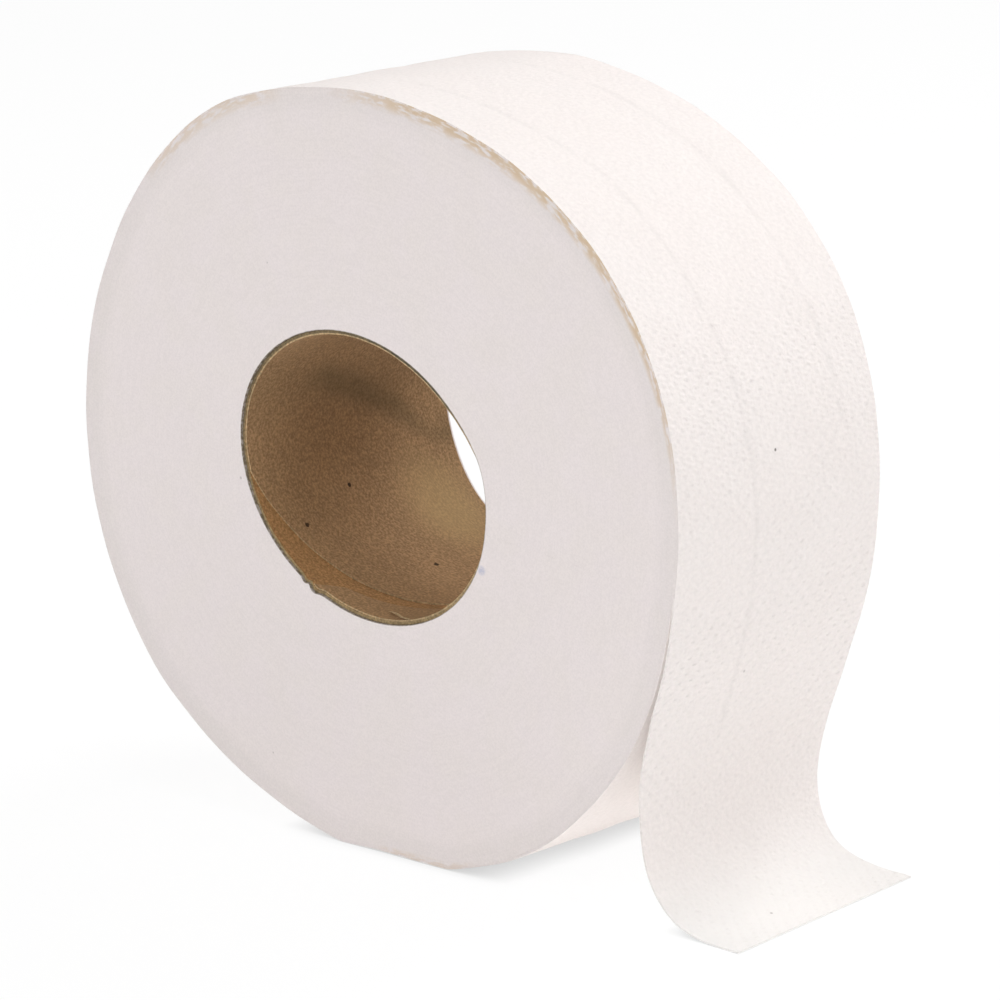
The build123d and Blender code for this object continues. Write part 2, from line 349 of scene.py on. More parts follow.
def tissue_material(name, colour, lit_through):
    """Two-ply tissue, creped and embossed: soft and matte, with pits, fibre clumps and cloudy ply."""
    material, shader, add = new_material(name, 0.95, 0.12)
    web = add("UVMap", uv_map="sheet_mm")
    # Fibre clumps 0.8 mm wide, drawn coarser than real fibres so that they show.
    clumps = add("TexNoise", {"Vector": web, "Scale": 120.0, "Detail": 5.0})
    # Crepe ridges across the web, drawn 1.2 mm apart because the real 0.2 mm is too fine to show.
    crepe = add("TexNoise", {"Vector": add("Mapping", {"Vector": web, "Scale": (85.0, 55.0, 1.0)}),
                             "Scale": 1.0, "Detail": 4.0})
    # Cloudy ply, patches about 30 mm wide.
    clouds = add("TexNoise", {"Vector": web, "Scale": 3.3, "Detail": 2.0})
    # Pits are pressed unevenly, in patches of about 25 mm. They are flattest over the top and near the end,
    # and deepest where the end hangs. Distances down the web are in units of 100 mm.
    run = add("SeparateXYZ", (web,)).outputs[0]
    pressed = add("TexNoise", {"Vector": web, "Scale": 4.0, "Detail": 2.0})
    pressed = add("MapRange", (pressed, 0.3, 0.65, 0.5, 1.0), **SMOOTH)
    for change in ((0.85, 1.35, 0.14, 1.0), (1.6, 2.0, 1.0, 1.5), (2.4, 2.8, 1.0, 0.5)):
        change = add("MapRange", (run, *change), **SMOOTH)
        pressed = add("Math", (pressed, change), **TIMES)
    pits, rings, ridges = lattice_pits(add, web)
    for change in ((1.0, 1.7, 0.15, 0.55), (2.45, 2.8, 1.0, 0.35)):
        change = add("MapRange", (run, *change), **SMOOTH)
        ridges = add("Math", (ridges, change), **TIMES)
    pits = add("Math", (pits, pressed), **TIMES)
    rings = add("Math", (add("Math", (rings, pressed), **TIMES), 0.25), **TIMES)
    tone = add("MixRGB", (add("MapRange", (clouds, 0.35, 0.65), **SMOOTH), shade(colour, 1.0),
                          shade(colour, 1.0, 0.996, 0.994)))
    for pattern, most in ((clumps, 0.075), (crepe, 0.12)):
        share = add("MapRange", (pattern, 0.3, 0.7, most, 0.0), **SMOOTH)
        tone = add("MixRGB", (share, tone, shade(colour, 0.6)))
    # Less pink where the end lies on the floor.
    tone = add("MixRGB", (add("MapRange", (run, 2.7, 3.0, 0.0, 1.0), **SMOOTH), tone,
                          shade(colour, 0.905, 0.938, 0.942)))
    # Painted shade: the pits are drawn a little darker, as the shade that lies in them.
    tone = add("MixRGB", (add("Math", (pits, 0.06), **TIMES), tone, shade(colour, 0.5)))
    # Painted shade along the two creases, which are also pressed into the sheet.
    painted_crease_shade = add("Attribute", attribute_name="painted_crease_shade").outputs["Fac"]
    tone = add("MixRGB", (add("Math", (painted_crease_shade, 0.1), **TIMES), tone, shade(colour, 0.5)))
    # A faint fleck about every 30 mm, as recycled pulp has, and three dark ones.
    cells = add("TexVoronoi", {"Vector": web, "Scale": 4.5})
    fleck = add("MapRange", (cells.outputs["Distance"], 0.012, 0.02, 0.2, 0.0), **SMOOTH)
    for spot in WEB_FLECKS:
        offset = add("VectorMath", (web, (spot[0] * UV_SCALE, spot[1] * UV_SCALE, 0)),
                     operation="DISTANCE").outputs["Value"]
        dark = add("MapRange", (offset, 0.002, 0.0065, spot[2], 0.0), **SMOOTH)
        fleck = add("Math", (fleck, dark), operation="MAXIMUM")
    tone = add("MixRGB", (fleck, tone, (*linear("#6E655E"), 1)))
    plug(material, tone, shader.inputs["Base Color"])
    height = add("Math", (add("Math", (clumps, 0.8), **TIMES), pits), operation="SUBTRACT")
    rough = add("Math", (rings, add("Math", (crepe, 2.0), **TIMES)), operation="ADD")
    height = add("Math", (height, rough), operation="ADD")
    height = add("Math", (height, ridges), operation="ADD")
    bump = add("Bump", {"Height": height, "Strength": 0.6, "Distance": 0.00026})
    plug(material, bump, shader.inputs["Normal"])
    # Two plies of tissue let about two thirds of a lamp's light through: each skin of the sheet passes 0.85.
    film = add("BsdfTransparent", {"Color": (0.85, 0.85, 0.835, 1)})
    # The underside of the loose end shows the light that falls on its upper side.
    through = add("BsdfTranslucent", {"Color": (0.93, 0.96, 0.98, 1)})
    body = add("MixShader", (lit_through, shader, through))
    rays = add("LightPath")
    passed = add("MixShader", (rays.outputs["Is Shadow Ray"], body if lit_through else shader, film))
    plug(material, passed, material.node_tree.nodes["Material Output"].inputs["Surface"])
    return material


def slit_edge_material(colour):
    """Slit ends of the wound turns: matte paper edges packed so tightly that only faint arcs show."""
    material, shader, add = new_material("slit_tissue_edges", 1.0, 0.08)
    uv = add("UVMap", uv_map="sheet_mm")
    place = add("NewGeometry").outputs["Position"]
    depth = add("SeparateXYZ", (uv,)).outputs[1]
    # Packed turns, drawn 0.6 mm apart because the real 0.15 mm is too fine to show.
    arcs = add("TexNoise", {"Vector": add("Mapping", {"Vector": uv, "Scale": (9.0, 160.0, 1.0)}),
                            "Scale": 1.0, "Detail": 3.0})
    # Cut fibres, 0.5 mm.
    grain = add("TexNoise", {"Vector": place, "Scale": 1900.0, "Detail": 3.0})
    # Warm and cool patches about 14 mm wide.
    patches = add("TexNoise", {"Vector": place, "Scale": 70.0, "Detail": 2.0})
    tone = add("MixRGB", (add("MapRange", (patches, 0.35, 0.65), **SMOOTH), shade(colour, 1.0),
                          shade(colour, 0.995, 0.998, 0.985)))
    for pattern, most in ((arcs, 0.05), (grain, 0.14)):
        share = add("MapRange", (pattern, 0.3, 0.7, most, 0.0), **SMOOTH)
        tone = add("MixRGB", (share, tone, shade(colour, 0.6)))
    # The outermost few millimetres are greyer, and tan in a band along the edge: most at the upper right,
    # where the band is 4 mm wide, and in two patches at the top left and the bottom.
    share = add("MapRange", (depth, 0.03, 0.09, 0.07, 0.0), **SMOOTH)
    tone = add("MixRGB", (share, tone, (*linear("#A3A698"), 1)))
    across, _, height = add("SeparateXYZ", (place,)).outputs
    streaks = add("TexNoise", {"Vector": add("Mapping", {"Vector": uv, "Scale": (30.0, 80.0, 1.0)}),
                               "Scale": 1.0, "Detail": 4.0})
    streaks = add("MapRange", (streaks, 0.36, 0.56), **SMOOTH)
    reach = add("MapRange", (height, 0.125, 0.215, 0.018, 0.045), **SMOOTH)
    band = add("MapRange", (add("Math", (depth, reach), operation="DIVIDE"), 0.25, 1.0, 1.0, 0.0), **SMOOTH)
    right = add("Math", (add("MapRange", (height, 0.110, 0.165), **SMOOTH),
                         add("MapRange", (across, -0.02, 0.02), **SMOOTH)), **TIMES)
    left = add("Math", (add("MapRange", (across, -0.030, -0.045, 0.0, 0.5), **SMOOTH),
                        add("MapRange", (height, 0.185, 0.195), **SMOOTH)), **TIMES)
    under = add("MapRange", (across, 0.045, 0.03, 0.0, 0.4), **SMOOTH)
    for source, start, end in ((across, 0.0, 0.01), (height, 0.012, 0.006)):
        share = add("MapRange", (source, start, end), **SMOOTH)
        under = add("Math", (under, share), **TIMES)
    where = add("Math", (right, add("Math", (left, under), operation="MAXIMUM")), operation="MAXIMUM")
    tan_band_share = add("Math", (add("Math", (band, where), **TIMES),
                           add("Math", (streaks, 0.8), **TIMES)), **TIMES)
    tone = add("MixRGB", (tan_band_share, tone, (*linear("#D9BE9A"), 1)))
    offset = add("VectorMath", (place, [v * MM for v in SMUDGE]), operation="DISTANCE").outputs["Value"]
    smudge = add("Math", (add("MapRange", (offset, 0.0006, 0.0019, 0.6, 0.0), **SMOOTH),
                          add("MapRange", (grain, 0.35, 0.6, 0.4, 1.0), **SMOOTH)), **TIMES)
    tone = add("MixRGB", (smudge, tone, (*linear("#B4B8D2"), 1)))
    cells = add("TexVoronoi", {"Vector": place, "Scale": 55.0})
    fleck = add("MapRange", (cells.outputs["Distance"], 0.016, 0.03, 0.3, 0.0), **SMOOTH)
    tone = add("MixRGB", (fleck, tone, (*linear("#6E655E"), 1)))
    # Grey and brown in patches round the core at the front: partly glue, partly painted shade in the gap.
    glue_and_gap_shade = add("Attribute", attribute_name="glue_and_gap_shade").outputs["Fac"]
    mottled = add("TexNoise", {"Vector": place, "Scale": 700.0, "Detail": 2.0})
    mottled = add("MapRange", (mottled, 0.35, 0.6, 0.6, 1.0), **SMOOTH)
    tone = add("MixRGB", (add("Math", (glue_and_gap_shade, mottled), **TIMES), tone, (*linear("#857A68"), 1)))
    plug(material, tone, shader.inputs["Base Color"])
    rough = add("Math", (arcs, grain), operation="ADD")
    bump = add("Bump", {"Height": rough, "Strength": 0.3, "Distance": 0.0001})
    plug(material, bump, shader.inputs["Normal"])
    return material


def board_material(name, colour, darker_tone=None):
    """Unbleached spiral-wound board: dull brown, speckled with coarse fibres, paler where it is cut."""
    material, shader, add = new_material(name, 0.85, 0.3)
    place = add("NewGeometry").outputs["Position"]
    uv = add("UVMap", uv_map="sheet_mm")
    # Long fibres run with the ply: 0.5 mm wide, 4 mm long.
    fibres = add("TexNoise", {"Vector": add("Mapping", {"Vector": uv, "Scale": (30.0, 220.0, 1.0)}),
                              "Scale": 1.0, "Detail": 4.0})
    # Coarse recycled pulp: specks of about 0.6 mm, and cloudy patches of 15 mm.
    specks = add("TexNoise", {"Vector": place, "Scale": 1300.0, "Detail": 3.0})
    clouds = add("TexNoise", {"Vector": place, "Scale": 65.0, "Detail": 2.0})
    share = add("MapRange", (clouds, 0.3, 0.7), **SMOOTH)
    tone = add("MixRGB", (share, shade(colour, 0.93), shade(colour, 1.06)))
    for pattern, change, level in ((fibres, (0.35, 0.7, 0.0, 0.4), 1.35),
                                   (specks, (0.36, 0.5, 0.5, 0.0), 0.55),
                                   (specks, (0.5, 0.64, 0.0, 0.5), 1.7)):
        share = add("MapRange", (pattern, *change), **SMOOTH)
        tone = add("MixRGB", (share, tone, shade(colour, level)))
    for spot in FLECKS:
        reach = add("VectorMath", (place, spot), operation="DISTANCE").outputs["Value"]
        reach = add("Math", (reach, add("Math", (specks, 0.0008), **TIMES)), operation="ADD")
        share = add("MapRange", (reach, 0.0010, 0.0014, 0.9, 0.0), **SMOOTH)
        tone = add("MixRGB", (share, tone, (*linear("#2B1D12"), 1)))
    # The cut end is darker in patches, most at the top.
    if darker_tone:
        darker_share = add("Attribute", attribute_name="end_darkening").outputs["Fac"]
        patchy = add("TexNoise", {"Vector": place, "Scale": 500.0, "Detail": 2.0})
        patchy = add("MapRange", (patchy, 0.3, 0.6, 0.7, 1.0), **SMOOTH)
        tone = add("MixRGB", (add("Math", (darker_share, patchy), **TIMES), tone, (*darker_tone, 1)))
    # Painted light and shade: paler and yellower where light comes in, darker where the inside is in shade.
    # Darker also along a dark streak in the board.
    light_shade_and_streak = add("Attribute", attribute_name="light_shade_and_streak").outputs["Fac"]
    for change, levels in (((0.0, 1.0, 0.0, 0.5), (1.68, 1.92, 1.8)),
                           ((0.0, -1.0, 0.0, 0.6), (0.40, 0.46, 0.42))):
        share = add("MapRange", (light_shade_and_streak, *change), **SMOOTH)
        tone = add("MixRGB", (share, tone, shade(colour, *levels)))
    plug(material, tone, shader.inputs["Base Color"])
    rough = add("Math", (fibres, specks), operation="ADD")
    bump = add("Bump", {"Height": rough, "Strength": 0.6, "Distance": 0.00022})
    plug(material, bump, shader.inputs["Normal"])
    return material


# What the colour and the depth settings have in common.
COLOUR = {"size": 3, "min": 0, "max": 1, "subtype": "COLOR"}
DEPTH = {"min": 0, "max": 0.001, "unit": "LENGTH", "precision": 5}


class OuterSheetSettings(bpy.types.PropertyGroup):
    colour: bpy.props.FloatVectorProperty(
        name="Tissue colour", description="Colour of the embossed tissue", default=linear("#FBF4F1"),
        **COLOUR)
    emboss_depth: bpy.props.FloatProperty(
        name="Emboss depth", description="Depth of the pressed cups", default=0.00005, **DEPTH)
    crease_depth: bpy.props.FloatProperty(
        name="Crease depth", description="Depth of the two creases in the web", default=0.00012, **DEPTH)
    wander: bpy.props.FloatProperty(
        name="Slackness", description="How far the slack skin stands off its even outline",
        default=0.00012, **DEPTH)


class WoundTurnsSettings(bpy.types.PropertyGroup):
    colour: bpy.props.FloatVectorProperty(
        name="Edge colour", description="Colour of the slit edges", default=linear("#F7EEED"), **COLOUR)
    unevenness: bpy.props.FloatProperty(
        name="Edge unevenness", description="How far turns stand out of line in the ends",
        default=0.00008, **DEPTH)


class BoardCoreSettings(bpy.types.PropertyGroup):
    inner_colour: bpy.props.FloatVectorProperty(
        name="Inner ply", description="Colour of the board's inner ply", default=linear("#A3835F"),
        **COLOUR)
    outer_colour: bpy.props.FloatVectorProperty(
        name="Outer ply", description="Colour of the ply seen in the gap", default=linear("#A47D52"),
        **COLOUR)
    cut_colour: bpy.props.FloatVectorProperty(
        name="Cut edge", description="Colour of the inner ply's cut edges", default=linear("#BFA680"),
        **COLOUR)
    end_colour: bpy.props.FloatVectorProperty(
        name="Cut end", description="Colour of the outer plies' cut ends", default=linear("#A38D68"),
        **COLOUR)


class StageSettings(bpy.types.PropertyGroup):
    lamp_share: bpy.props.FloatProperty(
        name="Lamps", description="Share of the soft lamps' usual power", default=1.0, min=0, max=10,
        subtype="FACTOR")
    ambient: bpy.props.FloatProperty(
        name="Even light", description="Strength of the even light from all round", default=0.15, min=0,
        max=4)
    shadow_reach: bpy.props.FloatProperty(
        name="Shadow reach", description="How far from a contact the floor is grey", default=0.0070,
        min=0, max=0.2, unit="LENGTH")
    shadow_depth: bpy.props.FloatProperty(
        name="Shadow depth", description="How grey the floor is at a contact", default=0.4, min=0, max=1,
        subtype="FACTOR")
    floor_glow: bpy.props.FloatProperty(
        name="Floor glow", description="Light that the lit floor gives from below", default=0.32, min=0,
        max=2)


def emboss_cups(s, y):
    """1 in the middle of each pressed cup, 0 between the cups."""
    cell = np.array([EMBOSS_A, EMBOSS_B])
    back = np.linalg.inv(cell)
    u = s * cell[0, 0] + y * cell[0, 1]
    v = s * cell[1, 0] + y * cell[1, 1]
    u, v = u - np.round(u), v - np.round(v)
    ds, dy = back[0, 0] * u + back[0, 1] * v, back[1, 0] * u + back[1, 1] * v
    return np.exp(-(ds ** 2 + dy ** 2) / CUP_RADIUS ** 2)


# The loose end's two edges as seen from in front: x and height of its upper side.
FRONT_EDGE = ((113.1, 89.0), (112.1, 81.5), (110.4, 73.3), (108.3, 66.2), (106.4, 60.0), (104.8, 53.0),
              (103.5, 46.0), (102.8, 38.0), (103.0, 29.0), (104.3, 21.0), (106.9, 13.8), (110.8, 8.4),
              (115.8, 4.3), (121.8, 1.8), (129.5, 0.65), (139.7, 0.55))
REAR_EDGE = ((112.7, 87.7), (111.0, 79.4), (108.9, 71.3), (105.6, 61.3), (102.2, 51.2), (99.0, 41.0),
             (96.6, 31.5), (95.7, 24.0), (96.4, 16.5), (98.8, 10.5), (102.6, 5.8), (108.0, 2.6),
             (115.5, 0.9), (133.2, 0.55))
FRONT_DRIFT, REAR_DRIFT = -2.95, -6.05
TAIL_ROWS = 120
SHEET_COLUMNS = 90
# Rows of the outermost turn, closest on the right flank.
SHEET_ANGLES = np.concatenate([np.arange(352.0, 60.0, -0.6), np.arange(60.0, ROOT_ANGLE, -0.45)])


def sheet_skin():
    """Upper side of the outermost turn and the loose end: grid of points, and each row's run down the web."""
    root = np.array(outline_point(ROOT_ANGLE, 0.0))
    rx, rz = outline_point(SHEET_ANGLES, turn_inset(SHEET_ANGLES))
    front = smooth_curve([root, *FRONT_EDGE], TAIL_ROWS)
    rear = smooth_curve([root, *REAR_EDGE], TAIL_ROWS)
    across = np.linspace(0.0, 1.0, SHEET_COLUMNS)
    roll = np.repeat(np.stack([rx, rz], -1)[:, None], SHEET_COLUMNS, 1)
    tail = front[:, None] * (1 - across)[:, None] + rear[:, None] * across[:, None]
    skin = np.concatenate([roll, tail], 0)
    mid = skin[:, SHEET_COLUMNS // 2]
    run = np.concatenate([[0], np.cumsum(np.hypot(*np.diff(mid, axis=0).T))])
    run = run - run[np.argmin(np.abs(SHEET_ANGLES - 90.0))]
    y = np.repeat(((across - 0.5) * 2 * HALF_WIDTH)[None, :], len(skin), 0)
    along = np.clip((np.arange(len(skin)) - len(SHEET_ANGLES)) / (TAIL_ROWS - 1), 0, 1)
    shift = FRONT_DRIFT + (REAR_DRIFT - FRONT_DRIFT) * across
    y = y + (along ** 2)[:, None] * shift[None, :]
    return np.stack([skin[..., 0], y, skin[..., 1]], -1), run


def grid_normals(grid):
    down = np.gradient(grid, axis=0)
    over = np.gradient(grid, axis=1)
    normal = np.cross(over, down)
    return normal / np.linalg.norm(normal, axis=-1, keepdims=True)


def creases(s, y):
    """1 along the middle of each crease in the web, falling to 0 within 3 mm."""
    total = np.zeros(np.broadcast(s, y).shape)
    for line in CREASES:
        runs, places = zip(*line)
        along = ease(s, runs[0] - 12, runs[0] + 4) * (1 - ease(s, runs[-1] - 14, runs[-1]))
        middle = np.interp(s, runs, places) + 0.35 * waves(s, s * 0, 14.0, 9)
        total = total + along * np.exp(-((y - middle) / 1.0) ** 2)
    return np.clip(total, 0, 1) * (0.75 + 0.35 * waves(s, y * 0, 9.0, 11))


class TISSUE_OT_outer_sheet(bpy.types.Operator):
    """Outermost turn of the web with its loose end, as one thin sheet"""
    bl_idname = "tissue_roll.outer_sheet"
    bl_label = "Outer sheet"

    def execute(self, context):
        settings = context.scene.tissue_outer_sheet
        grid, run = sheet_skin()
        roll_rows = len(SHEET_ANGLES)
        rows, columns = grid.shape[:2]
        normal = grid_normals(grid)
        if normal[len(normal) // 3, 0] @ (grid[len(grid) // 3, 0] - np.array([0, 0, AXIS_HEIGHT])) < 0:
            normal = -normal
        s = np.repeat(run[:, None], columns, 1)
        y = grid[..., 1]
        pressed = (0.15 + 0.85 * ease(s, 85.0, 135.0)) * (1 - 0.4 * ease(s, 200.0, 280.0))
        lift = -emboss_cups(s, y) * pressed * settings.emboss_depth / MM
        lift = lift - creases(s, y) * settings.crease_depth / MM
        lift = lift + waves(s, y, 24.0, 5) * settings.wander / MM
        fade = ease(s, run[0] + 2, run[0] + 30)
        outer = grid + normal * (lift * fade)[..., None]
        inner = (outer - normal * SHEET)[roll_rows:]
        for side in (inner, outer):
            side[..., 2] = np.maximum(side[..., 2], FLOOR_GAP)
        ix, iz = outline_point(SHEET_ANGLES, turn_inset(SHEET_ANGLES) + SHEET)
        sides = [np.full_like(ix, side) for side in (-HALF_WIDTH, HALF_WIDTH)]
        under = [np.stack([ix, side, iz], 1) for side in sides]
        points = np.concatenate([outer.reshape(-1, 3), *under, inner.reshape(-1, 3)])
        flat = np.stack([s, y], -1)
        under = [np.stack([run[:roll_rows], side], 1) for side in sides]
        uv = np.concatenate([flat.reshape(-1, 2), *under, flat[roll_rows:].reshape(-1, 2)])
        faces = grid_faces(rows, columns)
        kinds = [0] * len(faces)
        a, b = rows * columns, rows * columns + roll_rows
        c = b + roll_rows
        tail_rows = rows - roll_rows
        last = columns - 1
        for i in range(roll_rows - 1):
            faces.append([a + i, a + i + 1, b + i + 1, b + i])
            faces.append([i * columns, (i + 1) * columns, a + i + 1, a + i])
            faces.append([i * columns + last, b + i, b + i + 1, (i + 1) * columns + last])
            kinds += [0, 1, 1]
        faces.append([a, b, *range(last, -1, -1)])
        i = roll_rows - 1
        faces.append([a + i, b + i] + [c + j for j in range(last, -1, -1)])
        faces.append([i * columns, (i + 1) * columns, c, a + i])
        faces.append([i * columns + last, b + i, c + last, (i + 1) * columns + last])
        kinds += [0] * (len(faces) - len(kinds))
        faces += grid_faces(tail_rows, columns, c)
        kinds += [2] * (len(faces) - len(kinds))
        for i in range(tail_rows - 1):
            o = (roll_rows + i) * columns
            n = c + i * columns
            faces.append([o, o + columns, n + columns, n])
            faces.append([o + last, n + last, n + columns + last, o + columns + last])
        o, n = (rows - 1) * columns, c + (tail_rows - 1) * columns
        for j in range(last):
            faces.append([o + j, o + j + 1, n + j + 1, n + j])
        kinds += [0] * (len(faces) - len(kinds))
        # Where the tissue is painted with shade along its creases.
        marks = np.concatenate([creases(s, y).reshape(-1), np.zeros(len(points) - rows * columns)])
        edge = context.scene.tissue_wound_turns.colour
        materials = [tissue_material("two_ply_embossed_tissue", settings.colour, 0.0),
                     slit_edge_material(edge), tissue_material("tissue_underside", settings.colour, 0.5)]
        make_piece("outer_sheet", points, faces, uv, materials, "tissue_web", kinds,
                   {"painted_crease_shade": marks})
        return {"FINISHED"}


class TISSUE_OT_wound_turns(bpy.types.Operator):
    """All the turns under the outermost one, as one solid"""
    bl_idname = "tissue_roll.wound_turns"
    bl_label = "Wound turns"

    def execute(self, context):
        settings = context.scene.tissue_wound_turns
        angles = ROOT_ANGLE + np.linspace(0, FULL_TURN, 721)
        ox, oz = outline_point(angles, turn_inset(angles) + SHEET + TURN_GAP)
        share = np.concatenate([[0, 0.004, 0.012], np.linspace(0.03, 0.94, 44), np.linspace(0.95, 1.0, 12)])
        turn = np.radians(angles)[:, None] * 80.0
        ends = []
        for side in (-1, 1):
            y = side * HALF_WIDTH
            cx, cz = core_point(angles - CORE_TILT, -hole_gap(angles) - rear_bulge(angles, y))
            x = cx[:, None] + (ox - cx)[:, None] * share[None, :]
            z = cz[:, None] + (oz - cz)[:, None] * share[None, :]
            depth = np.hypot(x - ox[:, None], z - oz[:, None])
            out = waves(depth, depth * 0, 9.0, 3) * 0.5 + waves(depth * 6, turn, 60.0, 4) * 0.5
            out = out * settings.unevenness / MM
            edge = ease(share, 0.0, 0.03)[None, :] * (1 - ease(share, 0.985, 1.0))[None, :]
            ends.append((np.stack([x, y + side * out * edge, z], -1),
                         np.stack([turn + depth * 0, depth], -1)))
        rows, columns = x.shape
        points = np.concatenate([end.reshape(-1, 3) for end, _ in ends])
        uv = np.concatenate([sheet.reshape(-1, 2) for _, sheet in ends])
        n = rows * columns
        faces = grid_faces(rows, columns) + grid_faces(rows, columns, n)
        for i in range(rows - 1):
            o, p = i * columns, (i + 1) * columns
            faces.append([o, n + o, n + p, p])
            faces.append([o + columns - 1, p + columns - 1, n + p + columns - 1, n + o + columns - 1])
        last = rows * columns - 1
        faces.append([columns - 1, n + columns - 1, n + last, last])
        # Grey and brown at the hole's edge on the front end only, fading towards the rear: partly glue,
        # partly painted shade.
        glue_and_gap_shade = np.concatenate([np.tile(np.where(share < 0.003, 1.0, 0.0), rows), np.zeros(rows * columns)])
        make_piece("wound_turns", points, faces, uv, [slit_edge_material(settings.colour)],
                   "tissue_web", marks={"glue_and_gap_shade": glue_and_gap_shade})
        return {"FINISHED"}


def ply_edge(angle):
    """Where the inner ply's edge lies along the roll, by angle along its helix."""
    wander = 0.15 * np.sin(np.radians(angle * 5.3)) + 0.08 * np.sin(np.radians(angle * 17.0))
    return -HALF_WIDTH + GAP_PITCH * (angle - GAP_ANGLE) / FULL_TURN + wander


def ply_gap(angle):
    """Gap before the ply's edge, wider where the corner in front of it is torn away."""
    return GAP_WIDTH + TORN_SLOPE * np.maximum(TORN_ANGLE - angle, 0.0)


def ply_strip(angles, lanes, inset_low, inset_high):
    """A helical ply cut off square by the core's two ends, as one closed shell."""
    edge, end = ply_edge(angles), ply_edge(angles + FULL_TURN) - ply_gap(angles + FULL_TURN)
    y = edge[:, None] + (end - edge)[:, None] * lanes[None, :]
    front, rear = core_ends(angles)
    inside = np.clip(y, front[:, None] + 0.2, rear[:, None] - 0.2)
    wide = np.repeat(angles[:, None], len(lanes), 1)
    rows, columns = y.shape
    top = core_skin(wide, inside, inset_high)
    low = core_skin(wide, inside, inset_low)
    n = rows * columns
    flat = (y == inside).reshape(-1)
    kept = [quad for quad in grid_faces(rows, columns) if flat[quad].any()]
    sides = {(quad[k], quad[(k + 1) % 4]) for quad in kept for k in range(4)}
    faces = kept + [[n + k for k in reversed(quad)] for quad in kept]
    kinds = [1] * len(kept) + [0] * len(kept)
    walls = [[b, a, n + a, n + b] for a, b in sides if (b, a) not in sides]
    uv = np.stack([np.radians(wide) * 44.0, inside - np.radians(wide) * 14.0], -1).reshape(-1, 2)
    points = np.concatenate([top.reshape(-1, 3), low.reshape(-1, 3)])
    return points, faces + sorted(walls), np.concatenate([uv, uv]), kinds + [2] * len(walls)


def tube(angles, lanes, inset_low, inset_high):
    """Plain oval tube between two insets, its ends following the core's ends."""
    front, rear = core_ends(angles)
    y = front[:, None] + (rear - front)[:, None] * lanes[None, :]
    wide = np.repeat(angles[:, None], len(lanes), 1)
    rows, columns = y.shape
    outer, inner = core_skin(wide, y, inset_low), core_skin(wide, y, inset_high)
    n = rows * columns
    faces = grid_faces(rows, columns, 0, True) + grid_faces(rows, columns, n, True)
    kinds = [0] * len(faces)
    last = columns - 1
    for i in range(rows):
        o, q = i * columns, ((i + 1) % rows) * columns
        faces += [[o, n + o, n + q, q], [o + last, q + last, n + q + last, n + o + last]]
        kinds += [3, 3]
    uv = np.stack([np.radians(wide) * 44.0, y + np.radians(wide) * 14.0], -1).reshape(-1, 2)
    points = np.concatenate([outer.reshape(-1, 3), inner.reshape(-1, 3)])
    return points, faces, np.concatenate([uv, uv]), kinds


def curl_of_fibre(path, widths, thickness):
    """Thin ribbon that lies along path on the core's inner face: (angle, y, lift) for each point."""
    angle, y, lift = (np.array(column, float) for column in zip(*path))
    half = np.array(widths, float) / 2
    rows = len(path)
    grid = []
    for side, rise in ((-1, 0.0), (1, 0.0), (1, thickness), (-1, thickness)):
        x, z = core_point(angle + side * half * 0.55, CORE_WALL - 0.02 + lift + rise)
        grid.append(np.stack([x, y + side * half * 0.85, z], -1))
    points = np.stack(grid, 1).reshape(-1, 3)
    faces = [[i * 4 + k, i * 4 + (k + 1) % 4, (i + 1) * 4 + (k + 1) % 4, (i + 1) * 4 + k]
             for i in range(rows - 1) for k in range(4)]
    faces += [[0, 1, 2, 3], [rows * 4 - 1, rows * 4 - 2, rows * 4 - 3, rows * 4 - 4]]
    return points, faces, np.zeros((rows * 4, 2)), [2] * len(faces)


def end_darkening(polar):
    """Share of darker colour on the board's cut end, most at the top."""
    return np.clip(bump_at(polar, 62.0, 48.0) + 0.55 * bump_at(polar, 150.0, 40.0), 0, 1)


def board_light_shade_and_streak(angle, y):
    """From 1 where light is painted on the inner face to -1 where shade is painted and along a dark streak,
    by oval angle and place.
    """
    # Painted light: paler where light comes into the core on the lower inner face, towards the rear end.
    painted_light = bump_at(angle, -116.0, 26.0) * np.exp(-((y - 27.0) / 15.0) ** 2)
    middle = np.interp(y, (-15.0, 3.0, 22.0, 34.0), (-180.0, -171.5, -159.5, -146.0))
    streak = bump_at(angle, middle, 6.0) * ease(y, -28.0, -8.0)
    # Painted shade at the upper left of the inside, and a dark streak in the board.
    return painted_light - 0.3 * bump_at(angle, 178.0, 26.0) - 0.7 * streak


